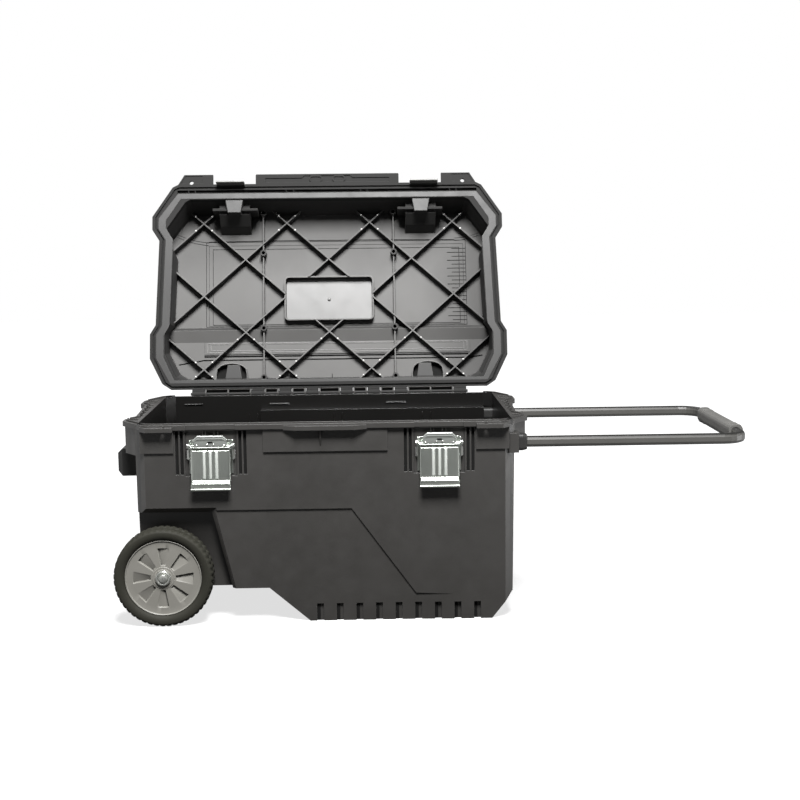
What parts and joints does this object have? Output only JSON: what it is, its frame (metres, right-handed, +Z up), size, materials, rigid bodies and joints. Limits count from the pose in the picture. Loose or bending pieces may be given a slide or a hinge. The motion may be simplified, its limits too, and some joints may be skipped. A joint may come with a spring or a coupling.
{
  "type": "tool chest",
  "caption": "Wheeled job chest with a hinged ribbed lid, metal draw latches, a carry grip at the wheel end and a sliding pull handle at the other.",
  "frame": {"origin": "middle of the chest's length and depth, on the plane that the foot and the wheels rest on", "axes": "+X towards the pull handle, -Y towards the latches, +Z up"},
  "size_m": [1.178, 0.6485, 0.8275],
  "materials": {
    "body": "moulded, soft sheen",
    "trim": "moulded",
    "hub": "moulded, grey",
    "tyre": "solid rubber",
    "grip": "sleeve",
    "tube": "dark coating",
    "zinc": "zinc plated"
  },
  "bodies": {
    "chest": {"body_shell": "body", "carry_grip": "trim", "grip_screw_front": "zinc", "grip_screw_rear": "zinc", "hinge_rod": "zinc", "axle": "zinc", "left_latch_base": "zinc", "left_lever_pin": "zinc", "left_base_rivet_lower": "zinc", "left_base_rivet_upper": "zinc", "right_latch_base": "zinc", "right_lever_pin": "zinc", "right_base_rivet_lower": "zinc", "right_base_rivet_upper": "zinc", "front_washer": "zinc", "front_axle_cap": "zinc", "front_handle_bush": "trim", "front_tube_channel": "trim", "rear_washer": "zinc", "rear_axle_cap": "zinc", "rear_handle_bush": "trim", "rear_tube_channel": "trim"},
    "lid": {"lid_shell": "body", "left_latch_keeper": "zinc", "left_keeper_rivet_left": "zinc", "left_keeper_rivet_right": "zinc", "right_latch_keeper": "zinc", "right_keeper_rivet_left": "zinc", "right_keeper_rivet_right": "zinc"},
    "left_lever": {"left_latch_lever": "zinc", "left_claw_pin": "zinc"},
    "left_claw": {"left_latch_claw": "zinc"},
    "right_lever": {"right_latch_lever": "zinc", "right_claw_pin": "zinc"},
    "right_claw": {"right_latch_claw": "zinc"},
    "front_wheel": {"front_wheel_hub": "hub", "front_tyre": "tyre"},
    "rear_wheel": {"rear_wheel_hub": "hub", "rear_tyre": "tyre"},
    "pull_handle": {"pull_handle_tube": "tube", "pull_handle_grip": "grip", "front_tube_stop": "trim", "rear_tube_stop": "trim"}
  },
  "joints": [
    {"name": "lid_hinge", "type": "hinge", "parent": "chest", "child": "lid", "pos_m": [0, 0.226, 0.369], "axis": [1, 0, 0], "range_deg": [0, 104.5]},
    {"name": "left_lever_hinge", "type": "hinge", "parent": "chest", "child": "left_lever", "pos_m": [-0.206, -0.2225, 0.3275], "axis": [-1, 0, 0], "range_deg": [0, 100]},
    {"name": "left_claw_hinge", "type": "hinge", "parent": "left_lever", "child": "left_claw", "pos_m": [-0.206, -0.229, 0.3255], "axis": [-1, 0, 0], "range_deg": [-120, 0]},
    {"name": "right_lever_hinge", "type": "hinge", "parent": "chest", "child": "right_lever", "pos_m": [0.206, -0.2225, 0.3275], "axis": [-1, 0, 0], "range_deg": [0, 100]},
    {"name": "right_claw_hinge", "type": "hinge", "parent": "right_lever", "child": "right_claw", "pos_m": [0.206, -0.229, 0.3255], "axis": [-1, 0, 0], "range_deg": [-120, 0]},
    {"name": "front_wheel_spin", "type": "hinge", "parent": "chest", "child": "front_wheel", "pos_m": [-0.296, -0.22, 0.09], "axis": [0, 1, 0], "continuous": true},
    {"name": "rear_wheel_spin", "type": "hinge", "parent": "chest", "child": "rear_wheel", "pos_m": [-0.296, 0.22, 0.09], "axis": [0, 1, 0], "continuous": true},
    {"name": "handle_slide", "type": "slide", "parent": "chest", "child": "pull_handle", "axis": [1, 0, 0], "range_m": [-0.3622, 0]}
  ],
  "couplings": [
    {"joint": "left_claw_hinge", "follows": "left_lever_hinge", "ratio": -1.2},
    {"joint": "right_claw_hinge", "follows": "right_lever_hinge", "ratio": -1.2}
  ]
}
